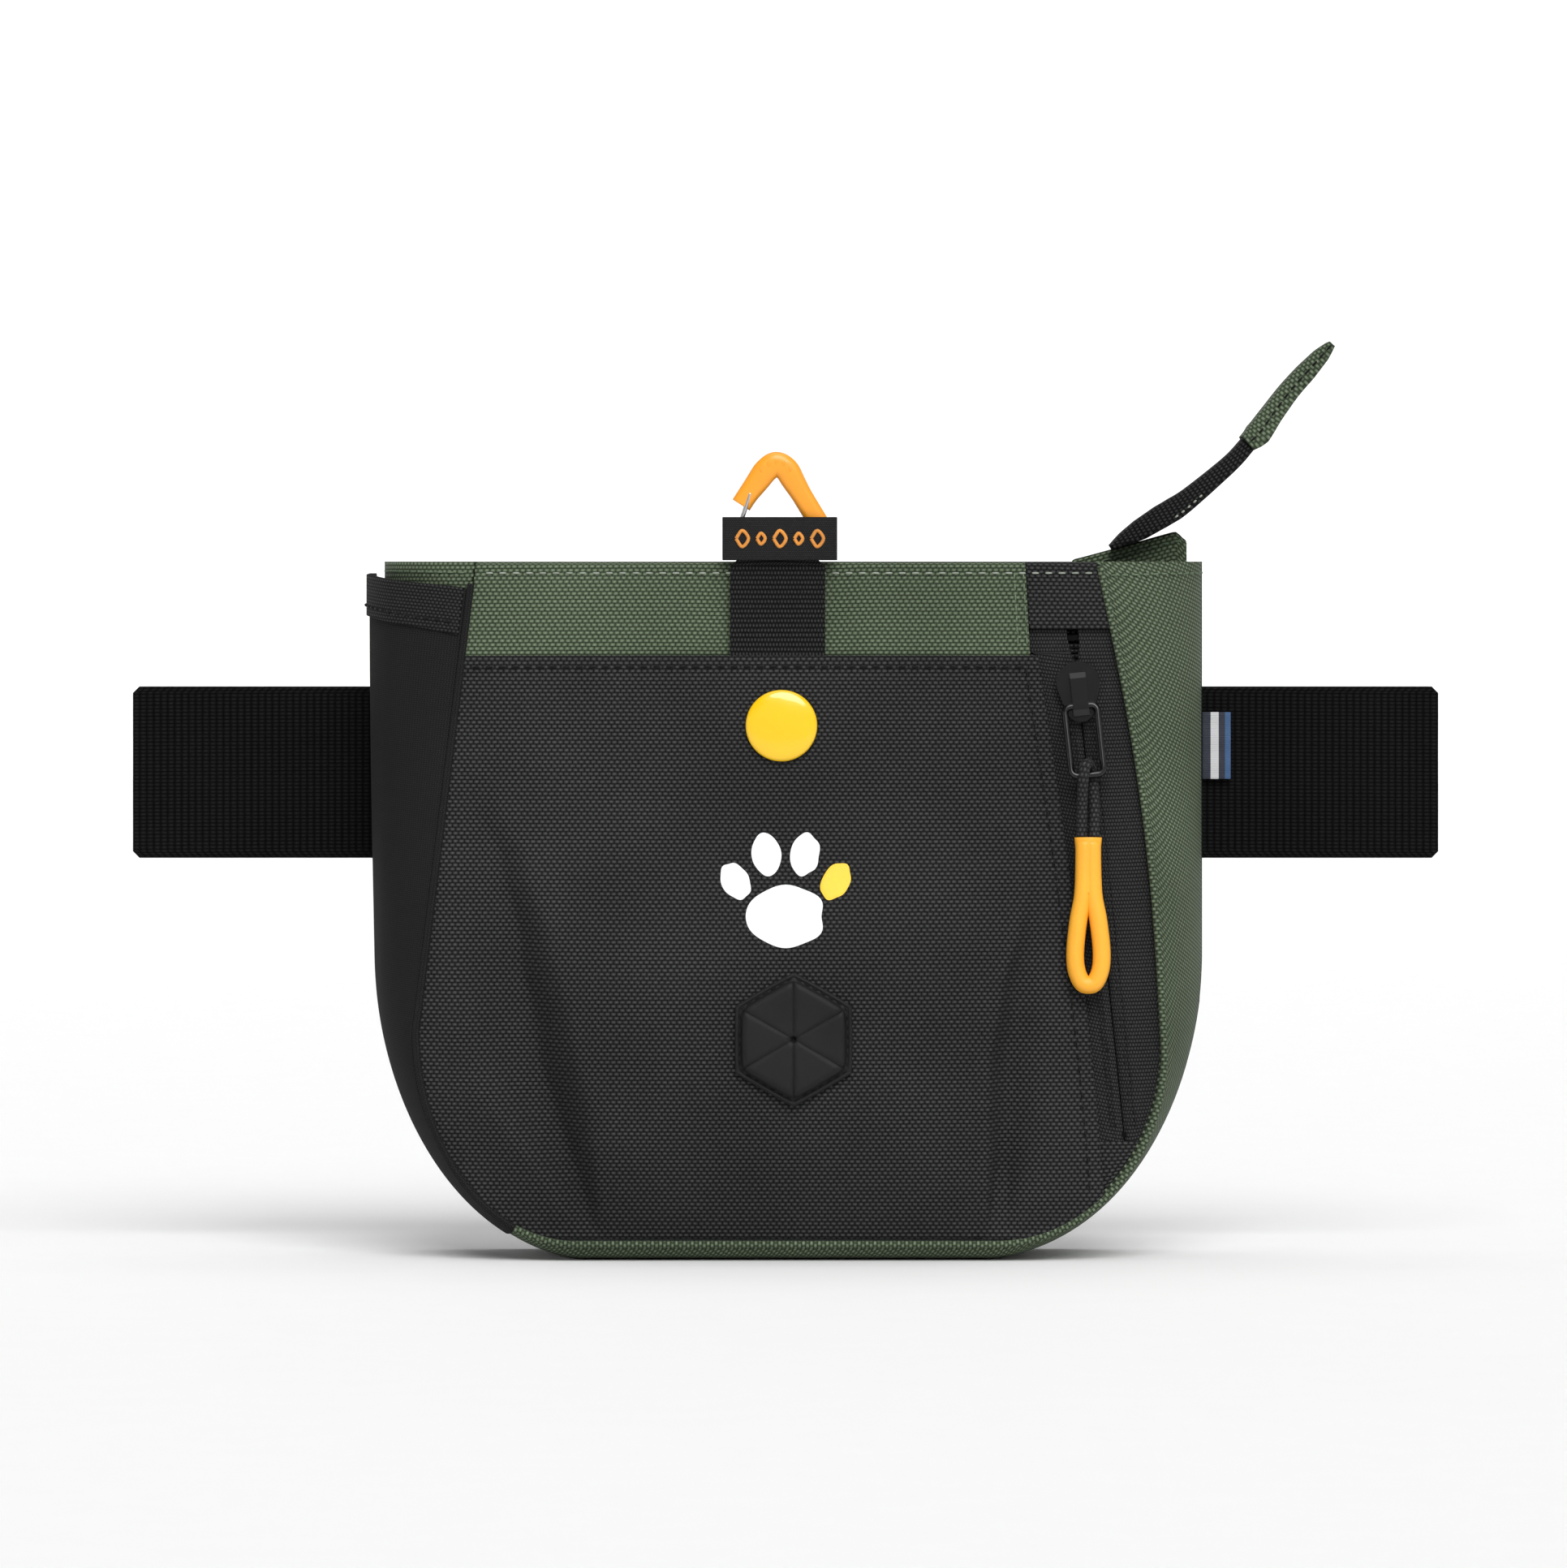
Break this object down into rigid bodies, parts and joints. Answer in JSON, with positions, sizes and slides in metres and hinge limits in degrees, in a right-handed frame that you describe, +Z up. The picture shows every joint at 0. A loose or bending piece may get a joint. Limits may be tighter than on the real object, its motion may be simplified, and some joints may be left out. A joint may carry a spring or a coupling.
{
  "type": "treat pouch",
  "caption": "Soft waist pouch with an open hinged mouth, snapped front pocket, bag dispenser, zipped pocket, gear clip, pull strap and a belt through the back.",
  "frame": {"origin": "centre of the flat base, on the surface the pouch stands on", "axes": "+X to the wearer's left, along the belt; +Y towards the belt at the back; +Z up"},
  "size_m": [0.313, 0.0647, 0.2213],
  "materials": {
    "green_fabric": "coated oxford weave",
    "black_fabric": "coated oxford weave",
    "stretch_fabric": "smooth stretch twill",
    "webbing": "ribbed webbing",
    "belt_webbing": "fine ribbed webbing",
    "lining": "smooth coated lining",
    "stay_plastic": "matte",
    "zip_tape": "knitted tape",
    "zip_plastic": "matte",
    "zip_metal": "satin black",
    "cord_fabric": "braided",
    "grip_rubber": "satin",
    "clip_plastic": "satin",
    "gate_steel": "polished wire",
    "snap_yellow": "gloss enamel",
    "snap_metal": "bright",
    "dispenser_rubber": "matte moulded",
    "label_black": "woven",
    "label_blue": "woven"
  },
  "bodies": {
    "bag": {"back_panel": "black_fabric", "left_gusset": "green_fabric", "right_gusset": "green_fabric", "bottom_gusset": "green_fabric", "back_liner": "lining", "gusset_liner": "lining", "back_stay": "stay_plastic", "belt_sleeve": "black_fabric", "side_label": "label_blue", "stretch_pocket": "stretch_fabric", "stretch_pocket_binding": "webbing", "gusset_flap": "green_fabric", "flap_board": "stay_plastic", "strap_anchor": "webbing"},
    "front_wall": {"inner_panel": "black_fabric", "front_liner": "lining", "front_panel": "black_fabric", "front_stay": "stay_plastic", "rim_band": "green_fabric", "web_strap": "webbing", "zip_head_patch": "black_fabric", "zip_foot_patch": "black_fabric", "zip_tape_inner": "zip_tape", "zip_tape_outer": "zip_tape", "zip_coils": "zip_plastic", "zip_end_stops": "zip_plastic", "snap_stud": "snap_metal", "web_loop": "webbing", "woven_label": "label_black"},
    "front_pocket": {"pocket_panel": "black_fabric", "pocket_hem": "black_fabric", "bag_dispenser": "dispenser_rubber", "snap_cap": "snap_yellow", "snap_socket": "snap_metal"},
    "zip_slider": {"slider_body": "zip_metal", "slider_bridge": "zip_metal"},
    "zip_puller": {"puller_loop": "zip_metal"},
    "zip_pull": {"pull_cord": "cord_fabric", "pull_grip": "grip_rubber"},
    "gear_clip": {"clip_body": "clip_plastic"},
    "clip_gate": {"clip_gate": "gate_steel"},
    "pull_strap": {"tab_strap": "webbing", "pull_tab": "green_fabric"},
    "belt": {"belt_strap": "belt_webbing"}
  },
  "joints": [
    {"name": "mouth_hinge", "type": "hinge", "parent": "bag", "child": "front_wall", "pos_m": [0, -0.024, 0.004], "axis": [1, 0, 0], "range_deg": [-5, 2]},
    {"name": "pocket_open", "type": "hinge", "parent": "front_wall", "child": "front_pocket", "pos_m": [0, -0.02297, 0.00594], "axis": [1, 0, 0], "range_deg": [0, 5]},
    {"name": "zip_slide", "type": "slide", "parent": "front_wall", "child": "zip_slider", "axis": [0.0999, -0.0711, -0.9924], "range_m": [0, 0.095]},
    {"name": "puller_tilt", "type": "hinge", "parent": "zip_slider", "child": "zip_puller", "pos_m": [0.07077, -0.01724, 0.1327], "axis": [-0.995, -0.0071, -0.0997], "range_deg": [0, 150]},
    {"name": "grip_swing", "type": "hinge", "parent": "zip_puller", "child": "zip_pull", "pos_m": [0.07245, -0.0208, 0.11616], "axis": [0, -0.9974, 0.0715], "range_deg": [0, 40]},
    {"name": "clip_swing", "type": "hinge", "parent": "front_wall", "child": "gear_clip", "pos_m": [0, -0.01151, 0.1715], "axis": [1, 0, 0], "range_deg": [-80, 4]},
    {"name": "gate_open", "type": "hinge", "parent": "gear_clip", "child": "clip_gate", "pos_m": [-0.0124, -0.01151, 0.1715], "axis": [0, 1, 0], "range_deg": [0, 22], "stiffness_Nm_per_rad": 0.004, "springref_deg": -8.59},
    {"name": "strap_lift", "type": "hinge", "parent": "bag", "child": "pull_strap", "pos_m": [0.088, 0.014, 0.17615], "axis": [0, 1, 0], "range_deg": [-35, 10]},
    {"name": "belt_slide", "type": "slide", "parent": "bag", "child": "belt", "axis": [1, 0, 0], "range_m": [-0.03, 0.03]}
  ]
}
